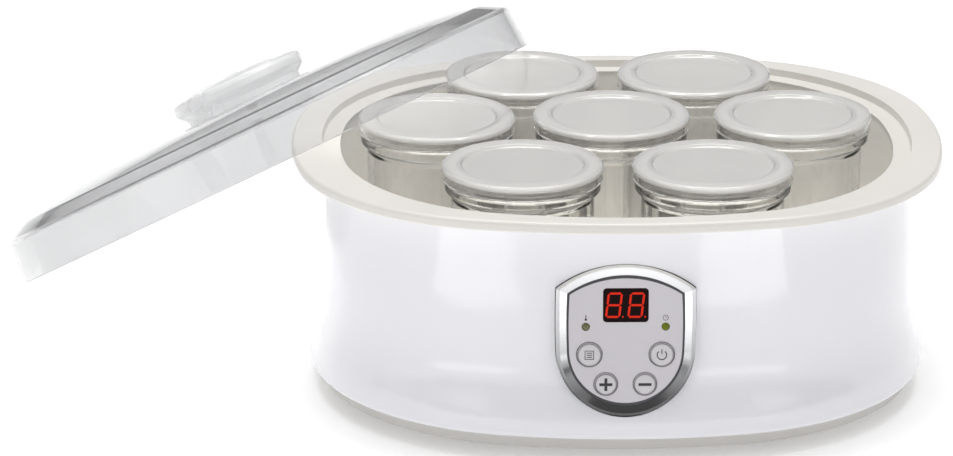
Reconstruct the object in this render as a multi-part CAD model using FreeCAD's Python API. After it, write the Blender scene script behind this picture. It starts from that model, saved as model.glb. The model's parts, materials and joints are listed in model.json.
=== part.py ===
import FreeCAD, Part
import os
from math import atan2, cos, degrees, hypot, pi, sin, sqrt

# Electric yogurt maker: an oval tub with seven lidded glass jars in a flared outer casing, a push-button
# control panel on the front, and a clear cover that leans on the left of the rim. Millimetres.
# Origin: middle of the surface that the feet stand on. +X right, +Y back, +Z up; the panel faces -Y.

V = FreeCAD.Vector

# ---- driving dimensions -------------------------------------------------------------------------------
# heights above the table
FOOT_H = 4.5            # underside of the base
BAND_TOP = 10.0         # top of the base band, where the casing starts
FLANGE_BOTTOM = 101.3   # underside of the tub's flange
FLANGE_TOP = 106.0
LEDGE_Z = 103.0         # step that the cover sits on
FLOOR_TOP = 30.8        # inside floor of the tub, which the jars stand on
FLOOR_BOTTOM = 28.4

# ovals, each: half width, half depth, radius of front arc, of side arc, of corner arc
WAIST_OVAL = (127.2, 112.0, 240.0, 175.0, 95.0)
FLANGE_OVAL = (140.0, 120.4, 290.0, 190.0, 95.0)
RECESS_OVAL = (127.0, 111.5, 220.0, 160.0, 95.0)
TUB_OVAL = (119.0, 104.0, 210.0, 160.0, 90.0)
COVER_OVAL = (125.2, 109.7, 220.0, 165.0, 95.0)
PLATE_OVAL = (88.0, 74.0, 130.0, 105.0, 62.0)

CASING_WALL = 2.5
TUB_WALL = 2.0
TUB_DRAFT = 0.8         # how much the tub narrows on each side from ledge to floor
BASE_PLATE = 2.5
SPIGOT_TOP = 12.0       # rim of the base that locates inside the casing

SCREW_POST_R = 4.5
SCREW_SHANK_R = 1.5

# jars: the middles of the places where they stand, from the front left to the back right
JAR_PLACES = [
    (-41.7, -63.2), (38.1, -64.0),
    (-77.4, 3.6), (-1.9, 7.0), (76.3, 6.3),
    (-39.4, 67.8), (36.8, 67.6),
]
JAR_R = 30.0
JAR_WALL = 2.6
JAR_H = 81.4
LID_R = 34.0
LID_T = 1.8             # from the jar's mouth to the lid's top
LID_SKIRT = 4.6         # how far the lid hangs below the mouth

# control panel: a shield-shaped bezel on a plane that leans back with the casing's flare
PANEL_Z = 52.3          # height of the panel's centre
PANEL_Y = -115.7        # bezel's front face at that height
PANEL_LEAN = 4.3        # degrees
BEZEL_HALF_W = 28.8
BEZEL_TOP = 33.7        # above the panel's centre
BEZEL_SHOULDER = 23.4   # where the arch meets the sides
BEZEL_BOTTOM = -31.5
BEZEL_DEPTH = 6.0
BEZEL_RIM = 4.5         # width of the metal rim
FASCIA_Y = 1.3          # how deep the fascia sits behind the bezel's front
FASCIA_T = 2.0
BOARD_Y = 6.5
BOARD_T = 1.2
CONTROL_SCREWS = [(-20.0, 14.5), (20.0, 14.5), (-20.0, -12.0), (20.0, -12.0)]
BUTTON_GAP = 0.3
BUTTON_TRAVEL = 0.6
BUTTON_FLANGE = 0.7     # retaining flange behind the fascia
BUTTON_SLACK = 0.15     # between the flange and the fascia, and the flange pressed in and its switch

# buttons: x, height above the panel's centre, radius
BUTTONS = {
    "function_button": (-15.0, -4.8, 5.2),
    "start_button": (15.0, -4.8, 5.2),
    "plus_button": (-8.1, -17.5, 4.8),
    "minus_button": (8.1, -17.5, 4.8),
}
LEDS = {"temp_led": (-16.5, 7.1), "time_led": (16.5, 7.1)}
LED_R = 1.7
DISPLAY_Z = 16.3
DISPLAY_W = 18.8
DISPLAY_H = 14.5

# cover, built flat and then leant: turned about Z, lifted on its right, rolled
COVER_CENTRE = V(-149.5, 84.2, 65.9)
COVER_YAW = -30.0
COVER_PITCH = -30.1
COVER_ROLL = -0.9
COVER_WALL = 2.0
COVER_SIDE_H = 19.2
COVER_DRAFT = 1.4
CHAMFER_IN = 10.8
CHAMFER_UP = 5.6
CROWN_IN = 58.0         # where the crown levels out, in from the rim
CROWN_TOP = 31.0
KNOB_R = 31.3
KNOB_H = 14.6
KNOB_POST_R = 4.2

# underside and back
FOOT_X = 57.0
FOOT_Y = 85.0
POST_X = 86.0
POST_Y = 50.0
GLAND_Z = 24.0
GLAND_Y = 113.5         # middle of the gland's length
GLAND_BORE = 3.6
GLAND_HALF = 6.3        # half the width of the gland's square body
GLAND_INSIDE = 106.0    # inner and outer ends along Y
GLAND_OUTSIDE = 121.0

# heating and power
PLATE_T = 1.8
PLATE_BOTTOM = FLOOR_BOTTOM - PLATE_T
HEATER_H = 2.4
HEATER_IN = 19.0        # from the plate's edge to the heater band, and the band's width
HEATER_W = 5.0
POWER_BOARD = (-46.0, 46.0, 34.0, 78.0)     # left, right, front, back
POWER_BOARD_Z = 11.0
POWER_BOARD_TOP = 12.6
POWER_HOLE_IN = 5.0
LEAD_X = 12.0
LEAD_R = 0.9


# ---- helpers ------------------------------------------------------------------------------------------
def on_arc(centre, radius, angle, z=0.0):
    return V(centre[0] + radius * cos(angle), centre[1] + radius * sin(angle), z)


def oval_arcs(oval, offset=0.0):
    """The eight tangent arcs of an oval, anticlockwise from the front: centre, radius and two angles."""
    half_x, half_y, r_front, r_side, r_corner = oval
    front = (0.0, r_front - half_y)
    side = (half_x - r_side, 0.0)
    reach_front = r_front - r_corner
    reach_side = r_side - r_corner
    span = hypot(side[0] - front[0], side[1] - front[1])
    along = (reach_front ** 2 - reach_side ** 2 + span ** 2) / (2 * span)
    across = sqrt(reach_front ** 2 - along ** 2)
    ux = (side[0] - front[0]) / span
    uy = (side[1] - front[1]) / span
    corner = (along * ux - across * uy, front[1] + along * uy + across * ux)
    a_front = atan2(corner[1] - front[1], corner[0] - front[0])
    a_side = atan2(corner[1], corner[0] - side[0])
    right = [
        (corner, r_corner, a_front, a_side),
        (side, r_side, a_side, -a_side),
        ((corner[0], -corner[1]), r_corner, -a_side, -a_front),
    ]
    left = [((-c[0], -c[1]), r, a0 + pi, a1 + pi) for c, r, a0, a1 in right]
    front_arc = (front, r_front, -pi - a_front, a_front)
    back_arc = ((0.0, -front[1]), r_front, -a_front, pi + a_front)
    arcs = [front_arc] + right + [back_arc] + left
    return [(c, r + offset, a0, a1) for c, r, a0, a1 in arcs]


def oval_wire(oval, z, offset=0.0):
    edges = []
    for centre, r, a0, a1 in oval_arcs(oval, offset):
        start, middle, end = [on_arc(centre, r, a, z) for a in (a0, (a0 + a1) / 2, a1)]
        edges.append(Part.Arc(start, middle, end).toShape())
    return Part.Wire(edges)


def slab(oval, z0, z1, offset=0.0):
    return Part.Face(oval_wire(oval, z0, offset)).extrude(V(0, 0, z1 - z0))


def taper(oval, z0, offset0, z1, offset1):
    return Part.makeLoft([oval_wire(oval, z0, offset0), oval_wire(oval, z1, offset1)], True, True)


def ring(oval, edges):
    """Sweep a closed outline round an oval. The outline's x is the distance outward from the oval."""
    sectors = []
    for centre, r, a0, a1 in oval_arcs(oval):
        face = Part.Face(Part.Wire(edges))
        face.translate(V(r, 0, 0))
        sector = face.revolve(V(0, 0, 0), V(0, 0, 1), degrees(a1 - a0))
        sector.rotate(V(0, 0, 0), V(0, 0, 1), degrees(a0))
        sector.translate(V(centre[0], centre[1], 0))
        sectors.append(sector)
    return sectors[0].multiFuse(sectors[1:]).removeSplitter()


def line(a, b):
    return Part.LineSegment(V(a[0], 0, a[1]), V(b[0], 0, b[1])).toShape()


def arc(a, m, b):
    return Part.Arc(V(a[0], 0, a[1]), V(m[0], 0, m[1]), V(b[0], 0, b[1])).toShape()


def curve(points):
    spline = Part.BSplineCurve()
    spline.interpolate([V(x, 0, z) for x, z in points])
    return spline.toShape()


def outline(points):
    """Straight edges joining the points, closed."""
    return [line(a, b) for a, b in zip(points, points[1:] + points[:1])]


def turned(points):
    """A solid of revolution about Z from radius, height points."""
    return Part.Face(Part.Wire(outline(points))).revolve(V(0, 0, 0), V(0, 0, 1), 360)


def cyl(r, h, x=0.0, y=0.0, z=0.0, axis=V(0, 0, 1)):
    return Part.makeCylinder(r, h, V(x, y, z), axis)


def block(x0, x1, y0, y1, z0, z1):
    return Part.makeBox(x1 - x0, y1 - y0, z1 - z0, V(x0, y0, z0))


def fuse(shapes):
    return shapes[0].multiFuse(shapes[1:]).removeSplitter()


def near_z(edge, z):
    box = edge.BoundBox
    return abs(box.ZMin - z) < 0.01 and abs(box.ZMax - z) < 0.01


def round_edges(shape, z, r):
    """Round every level edge at one height."""
    return shape.makeFillet(r, [e for e in shape.Edges if near_z(e, z)])


def corners4(x, y):
    return [(sx * x, sy * y) for sx in (-1, 1) for sy in (-1, 1)]


def pipe(points, r, bend):
    """A round wire along straight runs joined by arcs of one bend radius."""
    edges = []
    last = V(*points[0])
    for i in range(1, len(points) - 1):
        here = V(*points[i])
        into = (here - V(*points[i - 1])).normalize()
        out = (V(*points[i + 1]) - here).normalize()
        turn = into.getAngle(out)
        trim = bend * sin(turn / 2) / cos(turn / 2)
        start = here - into * trim
        end = here + out * trim
        inward = (out - into).normalize()
        middle = here + inward * (bend / cos(turn / 2) - bend)
        edges.append(Part.LineSegment(last, start).toShape())
        edges.append(Part.Arc(start, middle, end).toShape())
        last = end
    edges.append(Part.LineSegment(last, V(*points[-1])).toShape())
    heading = (V(*points[1]) - V(*points[0])).normalize()
    circle = Part.Wire(Part.Circle(V(*points[0]), heading, r).toShape())
    return Part.Wire(edges).makePipeShell([circle], True, True)


def save(name, shape):
    shape.exportStep("parts/" + name + ".step")


# ---- panel frame: local x right, local y into the casing, local z up the panel --------------------------
def on_panel(shape):
    placed = shape.copy()
    placed.rotate(V(0, 0, 0), V(1, 0, 0), -PANEL_LEAN)
    placed.translate(V(0, PANEL_Y, PANEL_Z))
    return placed


def into_panel(shape_wire, y0, depth):
    face = Part.Face(shape_wire)
    face.translate(V(0, y0, 0))
    return face.extrude(V(0, depth, 0))


def shield(inset):
    """Shield outline: arched top, nearly straight sides and a half-round bottom, pulled in by inset."""
    half = BEZEL_HALF_W - inset
    top = BEZEL_TOP - inset
    bottom = BEZEL_BOTTOM + inset
    side_bottom = bottom + half
    corner_z = BEZEL_SHOULDER - inset * 0.45
    diag = half * 0.7071
    bow = half + 0.25
    return Part.Wire([
        arc((-half, corner_z), (0, top), (half, corner_z)),
        arc((half, corner_z), (bow, (corner_z + side_bottom) / 2), (half, side_bottom)),
        arc((half, side_bottom), (diag, side_bottom - diag), (0, bottom)),
        arc((0, bottom), (-diag, side_bottom - diag), (-half, side_bottom)),
        arc((-half, side_bottom), (-bow, (corner_z + side_bottom) / 2), (-half, corner_z)),
    ])


# ---- housing ------------------------------------------------------------------------------------------
def outer_casing():
    outer = [(6.2, 13.2), (5.8, 18.0), (4.5, 23.5), (2.1, 34.5), (0.85, 60.0), (0.2, 82.0)]
    outer.append((0.0, FLANGE_BOTTOM))
    inner = [(d - CASING_WALL, z) for d, z in outer]
    shell = ring(WAIST_OVAL, [
        arc((3.0, BAND_TOP), (5.26, 10.94), outer[0]),
        curve(outer),
        line(outer[-1], inner[-1]),
        curve(inner[::-1]),
        arc(inner[0], (5.26 - CASING_WALL, 10.94), (3.0 - CASING_WALL, BAND_TOP)),
        line((3.0 - CASING_WALL, BAND_TOP), (3.0, BAND_TOP)),
    ])
    slot = GLAND_HALF + 0.1
    gland_slot = block(-slot, slot, GLAND_INSIDE, GLAND_OUTSIDE, 0, GLAND_Z + slot)
    panel_hole = on_panel(into_panel(shield(-0.25), -8, 30))
    return shell.cut([gland_slot, panel_hole])


def inner_tub():
    flange = slab(FLANGE_OVAL, FLANGE_BOTTOM, FLANGE_TOP)
    flange = round_edges(flange, FLANGE_TOP, 1.8)
    flange = round_edges(flange, FLANGE_BOTTOM, 1.2)
    recess = taper(RECESS_OVAL, LEDGE_Z, -0.4, FLANGE_TOP + 1, 0.13)
    body = taper(TUB_OVAL, FLOOR_BOTTOM, TUB_WALL - TUB_DRAFT, FLANGE_BOTTOM, TUB_WALL - 0.1)
    body = round_edges(body, FLOOR_BOTTOM, 4.0)
    hollow = taper(TUB_OVAL, FLOOR_TOP, -TUB_DRAFT, FLANGE_TOP + 1, 0.1)
    hollow = round_edges(hollow, FLOOR_TOP, 4.0)
    tub = fuse([flange, body]).cut([recess, hollow])
    post_h = FLOOR_BOTTOM + 1 - SPIGOT_TOP
    posts = [cyl(SCREW_POST_R, post_h, x, y, SPIGOT_TOP) for x, y in corners4(POST_X, POST_Y)]
    pilots = [cyl(SCREW_SHANK_R + 0.05, 13.0, x, y, SPIGOT_TOP - 1) for x, y in corners4(POST_X, POST_Y)]
    return fuse([tub] + posts).cut(pilots)


def base_cover():
    band = taper(WAIST_OVAL, FOOT_H, 0.9, BAND_TOP, 2.5)
    band = round_edges(band, FOOT_H, 1.2)
    inside = slab(WAIST_OVAL, FOOT_H + BASE_PLATE, 30, -2.0)
    band = band.cut(inside)
    spigot = slab(WAIST_OVAL, FOOT_H + BASE_PLATE - 0.5, SPIGOT_TOP, 0.2).cut(slab(WAIST_OVAL, 0, 30, -2.0))
    cups = [cyl(6.5, SPIGOT_TOP - FOOT_H, x, y, FOOT_H) for x, y in corners4(POST_X, POST_Y)]
    standoff_h = POWER_BOARD_Z - FOOT_H - 2
    standoffs = [cyl(3.5, standoff_h, x, y, FOOT_H + 2) for x, y in power_board_holes()]
    plate = fuse([band, spigot] + cups + standoffs)
    tools = [cyl(3.8, 9.0 - FOOT_H, x, y, FOOT_H) for x, y in corners4(POST_X, POST_Y)]
    tools += [cyl(1.8, 10.0, x, y, 5.0) for x, y in corners4(POST_X, POST_Y)]
    tools += [cyl(3.0, 10.0, x, y, 0.0) for x, y in corners4(FOOT_X, FOOT_Y)]
    tools += [cyl(1.25, 6.0, x, y, FOOT_H + 2.6) for x, y in power_board_holes()]
    return plate.cut(tools)


def foot(x, y):
    pad = turned([(0, 0), (7.6, 0), (8.6, 0.9), (9.4, FOOT_H), (0, FOOT_H)])
    stem = turned([(0, FOOT_H), (2.9, FOOT_H), (2.9, 7.2), (3.5, 7.2), (2.3, 9.4), (0, 9.4)])
    shape = fuse([pad, stem])
    shape.translate(V(x, y, 0))
    return shape


def screw(head_r, head_h, shank_r, length):
    """A pan-head screw standing on its shank end, head at the bottom and pointing up."""
    body = turned([(0, 0), (head_r * 0.8, 0), (head_r, head_h * 0.45), (head_r, head_h), (shank_r, head_h),
                   (shank_r, head_h + length - 1.5), (0, head_h + length)])
    slot = Part.makeBox(head_r * 1.1, 0.7, head_h * 0.5, V(-head_r * 0.55, -0.35, 0))
    cross = Part.makeBox(0.7, head_r * 1.1, head_h * 0.5, V(-0.35, -head_r * 0.55, 0))
    return body.cut([slot, cross])


def screws_at(places, z, make, flip=False):
    group = []
    for x, y in places:
        one = make()
        if flip:
            one.rotate(V(0, 0, 0), V(1, 0, 0), 180)
        one.translate(V(x, y, z))
        group.append(one)
    return Part.makeCompound(group)


# ---- heating and power --------------------------------------------------------------------------------
def heating_plate():
    plate = slab(PLATE_OVAL, PLATE_BOTTOM, FLOOR_BOTTOM)
    return plate.cut([cyl(2.0, 5, x, y, PLATE_BOTTOM - 1) for x, y in corners4(40, 30)])


def heater_element():
    top = PLATE_BOTTOM
    inner = -HEATER_IN - HEATER_W
    bottom = top - HEATER_H
    band = ring(PLATE_OVAL, outline([(inner, bottom), (-HEATER_IN, bottom), (-HEATER_IN, top), (inner, top)]))
    gap = LEAD_X - 3.0
    return band.cut(block(-gap, gap, 20, 120, 0, 60))


def thermistor():
    bead = cyl(2.2, 9.0, -18, -12, PLATE_BOTTOM - 2.25, V(0, 1, 0))
    collar = cyl(1.4, 4.0, -18, -3, PLATE_BOTTOM - 2.25, V(0, 1, 0))
    return fuse([bead, collar])


def sensor_clip():
    strap = block(-21.4, -14.6, -10, -5, PLATE_BOTTOM - 5.3, PLATE_BOTTOM)
    feet = block(-28, -8, -10, -5, PLATE_BOTTOM - 0.8, PLATE_BOTTOM)
    channel = block(-20.6, -15.4, -20, 5, PLATE_BOTTOM - 4.6, PLATE_BOTTOM + 1)
    return fuse([strap, feet]).cut(channel)


def thermal_fuse():
    case = cyl(2.0, 11.0, 16, -6, PLATE_BOTTOM - 2.05, V(1, 0, 0))
    lead_a = cyl(0.5, 6.0, 10, -6, PLATE_BOTTOM - 2.05, V(1, 0, 0))
    lead_b = cyl(0.5, 6.0, 27, -6, PLATE_BOTTOM - 2.05, V(1, 0, 0))
    return fuse([case, lead_a, lead_b])


def power_board_holes():
    left, right, front, back = POWER_BOARD
    inset = POWER_HOLE_IN
    return [(x, y) for x in (left + inset, right - inset) for y in (front + inset, back - inset)]


def power_board():
    board = block(*POWER_BOARD, POWER_BOARD_Z, POWER_BOARD_TOP)
    return board.cut([cyl(1.7, 5, x, y, POWER_BOARD_Z - 1) for x, y in power_board_holes()])


def relay():
    top = POWER_BOARD_TOP
    case = block(-34, -15, 48, 63.5, top, top + 9.5)
    return case.makeChamfer(0.6, [e for e in case.Edges if near_z(e, top + 9.5)])


def filter_capacitor():
    top = POWER_BOARD_TOP
    case = block(-8, 10, 62, 70, top, top + 9.0)
    return case.makeChamfer(0.8, [e for e in case.Edges if near_z(e, top + 9.0)])


def terminal_block():
    top = POWER_BOARD_TOP
    case = block(18, 38, 60, 69, top, top + 8.5)
    wells = [cyl(1.9, 5, 21.5 + 6.5 * i, 64.5, top + 4.5) for i in range(3)]
    mouths = [cyl(1.6, 4, 21.5 + 6.5 * i, 66, top + 2.6, V(0, 1, 0)) for i in range(3)]
    return case.cut(wells + mouths)


def heater_leads():
    """Two wires that rise from the board to the ends of the heater's band."""
    low = POWER_BOARD_TOP
    high = PLATE_BOTTOM - HEATER_H
    bend_z = 19.0
    leads = [
        pipe([(x, 40, low), (x, 40, bend_z), (x, 52.5, bend_z), (x, 52.5, high)], LEAD_R, 2.2)
        for x in (-LEAD_X, LEAD_X)
    ]
    return Part.makeCompound(leads)


def ribbon_cable():
    """A flat cable from the control board's lower edge, along the base and up to the power board."""
    path = [(-108.6, 20.0), (-108.6, 8.2), (36.0, 8.2), (36.0, POWER_BOARD_Z)]
    top = [(35.1, POWER_BOARD_Z), (35.1, 9.1), (-107.7, 9.1), (-107.7, 20.0)]
    corners = [V(-6.5, y, z) for y, z in path + top]
    wire = Part.makePolygon(corners + corners[:1])
    return Part.Face(wire).extrude(V(13, 0, 0))


def cord_gland():
    """Grommet held in a slot of the rear wall, above the base's rim. A supply cord passes along Y."""
    half = GLAND_HALF
    top = GLAND_Z + half
    body = block(-half, half, GLAND_INSIDE, GLAND_OUTSIDE - 2.4, SPIGOT_TOP + 0.3, top)
    tongue = block(-half, half, GLAND_Y, GLAND_OUTSIDE - 2.4, BAND_TOP + 0.1, SPIGOT_TOP + 1)
    inner_flange = block(-half - 3, half + 3, GLAND_INSIDE, GLAND_INSIDE + 3, SPIGOT_TOP + 0.3, top + 2)
    collar = cyl(half + 2.2, 2.4, 0, GLAND_OUTSIDE - 2.4, GLAND_Z, V(0, 1, 0))
    nose = collar.makeFillet(1.0, [e for e in collar.Edges if e.BoundBox.YMin > GLAND_OUTSIDE - 0.01])
    bore = cyl(GLAND_BORE, GLAND_OUTSIDE - GLAND_INSIDE + 2, 0, GLAND_INSIDE - 1, GLAND_Z, V(0, 1, 0))
    return fuse([body, tongue, inner_flange, nose]).cut(bore)


# ---- control panel ------------------------------------------------------------------------------------
def panel_bezel():
    outer = into_panel(shield(0.0), 0, BEZEL_DEPTH)
    lens_gap = into_panel(shield(BEZEL_RIM), -1, BEZEL_DEPTH + 2)
    inset = into_panel(shield(BEZEL_RIM - 1.6), FASCIA_Y + 0.9, BEZEL_DEPTH)
    slope_top = panel_wire(BEZEL_RIM - 2.9, -0.01)
    slope = Part.makeLoft([slope_top, panel_wire(BEZEL_RIM + 0.05, FASCIA_Y)], True, True)
    crest = Part.makeLoft([panel_wire(0.9, -0.01), panel_wire(-0.02, 1.1)], True, True)
    front = outer.common(fuse([crest, into_panel(shield(-0.02), 1.1, BEZEL_DEPTH)]))
    return on_panel(front.cut([lens_gap, inset, slope]))


def panel_wire(inset, y):
    wire = shield(inset)
    wire.translate(V(0, y, 0))
    return wire


def panel_fascia():
    face = into_panel(shield(BEZEL_RIM + 0.1), FASCIA_Y, FASCIA_T)
    back = into_panel(shield(BEZEL_RIM - 1.5), FASCIA_Y + 1.0, FASCIA_T - 1.0)
    plate = fuse([face, back])
    holes = [cyl(r + BUTTON_GAP, 10, x, -1, z, V(0, 1, 0)) for x, z, r in BUTTONS.values()]
    holes += [cyl(LED_R + 0.05, 10, x, -1, z, V(0, 1, 0)) for x, z in LEDS.values()]
    holes.append(display_block(-1, 10, 0.05))
    return on_panel(plate.cut(holes))


def display_block(y0, y1, grow):
    half_w = DISPLAY_W / 2 + grow
    low = DISPLAY_Z - DISPLAY_H / 2 - grow
    high = DISPLAY_Z + DISPLAY_H / 2 + grow
    box = block(-half_w, half_w, y0, y1, low, high)
    upright = [e for e in box.Edges if abs(e.BoundBox.YLength - (y1 - y0)) < 0.01]
    return box.makeFillet(1.6, upright)


def display_window():
    return on_panel(display_block(FASCIA_Y + 0.1, FASCIA_Y + 1.6, 0.0))


def display_module():
    return on_panel(block(-9.2, 9.2, FASCIA_Y + FASCIA_T, BOARD_Y, DISPLAY_Z - 7.0, DISPLAY_Z + 7.0))


def led(x, z):
    lens = turned([(0, 0), (1.3, 0.15), (LED_R, 0.7), (LED_R, 4.2), (0, 4.2)])
    collar = turned([(0, 4.2), (2.1, 4.2), (2.1, BOARD_Y - 1.0), (0, BOARD_Y - 1.0)])
    body = fuse([lens, collar])
    body.rotate(V(0, 0, 0), V(1, 0, 0), -90)
    body.translate(V(x, 1.0, z))
    return on_panel(body)


def control_board():
    board = block(-23.0, 23.0, BOARD_Y, BOARD_Y + BOARD_T, -24.0, 24.0)
    lower = [e for e in board.Edges if e.BoundBox.YLength > BOARD_T - 0.01 and e.BoundBox.ZMax < -23.5]
    board = board.makeChamfer(9.0, lower)
    return on_panel(board.cut([cyl(1.3, 5, x, BOARD_Y - 1, z, V(0, 1, 0)) for x, z in CONTROL_SCREWS]))


def control_board_screws():
    group = []
    for x, z in CONTROL_SCREWS:
        one = turned([(0, 0), (1.9, 0), (1.9, 1.2), (1.2, 1.2), (1.2, 4.2), (0, 4.9)])
        one.rotate(V(0, 0, 0), V(1, 0, 0), 90)
        one.translate(V(x, BOARD_Y + BOARD_T + 1.2, z))
        group.append(on_panel(one))
    return Part.makeCompound(group)


def key_switches():
    group = []
    for x, z, _ in BUTTONS.values():
        can = block(x - 3, x + 3, BOARD_Y - 1.2, BOARD_Y, z - 3, z + 3)
        tip = FASCIA_Y + FASCIA_T + BUTTON_FLANGE + BUTTON_TRAVEL + 2 * BUTTON_SLACK
        plunger = cyl(1.5, BOARD_Y - 1.1 - tip, x, tip, z, V(0, 1, 0))
        group.append(on_panel(fuse([can, plunger])))
    return Part.makeCompound(group)


def push_button(x, z, r):
    """A domed cap through the fascia with a retaining flange behind it."""
    front = FASCIA_Y - 0.7
    back = FASCIA_Y + FASCIA_T
    under = back - front + BUTTON_SLACK
    rear = under + BUTTON_FLANGE
    cap = turned([(0, 0), (r - 1.0, 0.12), (r - 0.3, 0.4), (r, 0.9), (r, under), (0, under)])
    flange = turned([(0, under), (r + 0.9, under), (r + 0.9, rear), (0, rear)])
    body = fuse([cap, flange])
    body.rotate(V(0, 0, 0), V(1, 0, 0), -90)
    body.translate(V(x, front, z))
    return on_panel(body)


# ---- jars ---------------------------------------------------------------------------------------------
def jar(x, y):
    """Glass jar with a rounded foot, a collar under the lid and a plain neck."""
    r = JAR_R
    inner = r - JAR_WALL
    h = JAR_H
    shoulder = h - 10.5
    profile = [
        line((0, 1.2), (r - 9, 1.2)), line((r - 9, 1.2), (r - 7, 0)), line((r - 7, 0), (r - 4, 0)),
        arc((r - 4, 0), (r - 1.17, 1.17), (r, 4)),
        line((r, 4), (r, shoulder)), arc((r, shoulder), (r + 1.0, shoulder + 1.3), (r + 2.4, shoulder + 2.0)),
        arc((r + 2.4, shoulder + 2.0), (r + 2.8, shoulder + 3.4), (r + 2.4, shoulder + 4.8)),
        line((r + 2.4, shoulder + 4.8), (r + 1.1, shoulder + 5.4)),
        line((r + 1.1, shoulder + 5.4), (r + 1.1, h - 1.2)),
        arc((r + 1.1, h - 1.2), (r + 0.0, h), (r - 1.1, h - 1.2)), line((r - 1.1, h - 1.2), (r - 1.3, h - 9)),
        line((r - 1.3, h - 9), (inner, h - 14)), line((inner, h - 14), (inner, 8)),
        arc((inner, 8), (inner - 1.17, 5.17), (inner - 4, 4)),
        line((inner - 4, 4), (0, 4)), line((0, 4), (0, 1.2)),
    ]
    body = Part.Face(Part.Wire(profile)).revolve(V(0, 0, 0), V(0, 0, 1), 360)
    body.translate(V(x, y, FLOOR_TOP))
    return body


def jar_lid(x, y):
    """Press-on plastic lid: rounded rim, sunken middle and a plug inside the neck."""
    r = LID_R
    top = LID_T
    sunk = LID_T - 0.9
    low = -LID_SKIRT
    profile = [
        line((0, sunk), (25.2, sunk)), arc((25.2, sunk), (25.9, top - 0.1), (26.8, top)),
        line((26.8, top), (r - 2.2, top)), arc((r - 2.2, top), (r - 0.45, top - 0.5), (r, top - 2.2)),
        line((r, top - 2.2), (r - 0.3, low)), line((r - 0.3, low), (r - 1.9, low)),
        line((r - 1.9, low), (r - 2.2, -1.0)), arc((r - 2.2, -1.0), (r - 2.6, -0.2), (r - 3.4, 0)),
        line((r - 3.4, 0), (27.8, 0)), line((27.8, 0), (27.2, -4.2)), line((27.2, -4.2), (25.8, -4.2)),
        line((25.8, -4.2), (25.6, -0.6)), line((25.6, -0.6), (0, -0.6)), line((0, -0.6), (0, sunk)),
    ]
    body = Part.Face(Part.Wire(profile)).revolve(V(0, 0, 0), V(0, 0, 1), 360)
    body.translate(V(x, y, FLOOR_TOP + JAR_H))
    return body


# ---- cover --------------------------------------------------------------------------------------------
COVER_ROTATION = FreeCAD.Rotation(COVER_YAW, COVER_PITCH, COVER_ROLL)


def lean(shape):
    placed = shape.copy()
    placed.Placement = FreeCAD.Placement(COVER_CENTRE, COVER_ROTATION).multiply(placed.Placement)
    return placed


def crown(start, end_x, end_z):
    """Arc from the chamfer's top that levels out where the crown becomes flat."""
    run = start[0] - end_x
    rise = end_z - start[1]
    r = (run * run + rise * rise) / (2 * rise)
    a = atan2(run, r - rise) / 2
    return arc(start, (end_x + r * sin(a), end_z - r + r * cos(a)), (end_x, end_z))


def cover_shell():
    t = COVER_WALL
    side = (-COVER_DRAFT, COVER_SIDE_H)
    shoulder = (-COVER_DRAFT - CHAMFER_IN, COVER_SIDE_H + CHAMFER_UP)
    side_in = (-COVER_DRAFT - t + 0.08, COVER_SIDE_H - 0.9)
    shoulder_in = (shoulder[0] - 0.9, shoulder[1] - t)
    flat = -CROWN_IN
    shell = ring(COVER_OVAL, [
        line((0, 0), side), line(side, shoulder), crown(shoulder, flat, CROWN_TOP),
        line((flat, CROWN_TOP), (flat, CROWN_TOP - t)),
        crown(shoulder_in, flat, CROWN_TOP - t).reversed(),
        line(shoulder_in, side_in), line(side_in, (-t, 0)), line((-t, 0), (0, 0)),
    ])
    middle = slab(COVER_OVAL, CROWN_TOP - t, CROWN_TOP, -CROWN_IN)
    shell = fuse([shell, middle])
    return lean(shell.cut(cyl(2.2, 10, 0, 0, CROWN_TOP - 6)))


def cover_knob():
    """A broad domed knob, hollow below, with a screw post in its middle."""
    z0 = CROWN_TOP
    r = KNOB_R
    roof = z0 + 9.6
    post = KNOB_POST_R
    pilot = SCREW_SHANK_R + 0.1
    profile = [
        line((r - 4.3, z0), (r - 3.7, z0 + 3.0)), line((r - 3.7, z0 + 3.0), (r - 1.1, z0 + 5.2)),
        arc((r - 1.1, z0 + 5.2), (r - 0.2, z0 + 5.9), (r, z0 + 6.8)), line((r, z0 + 6.8), (r, z0 + 9.6)),
        arc((r, z0 + 9.6), (r - 0.6, z0 + 11.1), (r - 2.1, z0 + 11.8)),
        crown((r - 2.1, z0 + 11.8), 0, z0 + KNOB_H), line((0, z0 + KNOB_H), (0, z0 + 9.0)),
        line((0, z0 + 9.0), (pilot, z0 + 9.0)), line((pilot, z0 + 9.0), (pilot, z0)),
        line((pilot, z0), (post, z0)),
        line((post, z0), (post, roof)), line((post, roof), (r - 6.5, roof)),
        line((r - 6.5, roof), (r - 6.5, z0)), line((r - 6.5, z0), (r - 4.3, z0)),
    ]
    return lean(Part.Face(Part.Wire(profile)).revolve(V(0, 0, 0), V(0, 0, 1), 360))


def knob_screw():
    head_h = 2.2
    one = screw(4.2, head_h, SCREW_SHANK_R, 10.0)
    one.translate(V(0, 0, CROWN_TOP - COVER_WALL - head_h))
    return lean(one)


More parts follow.
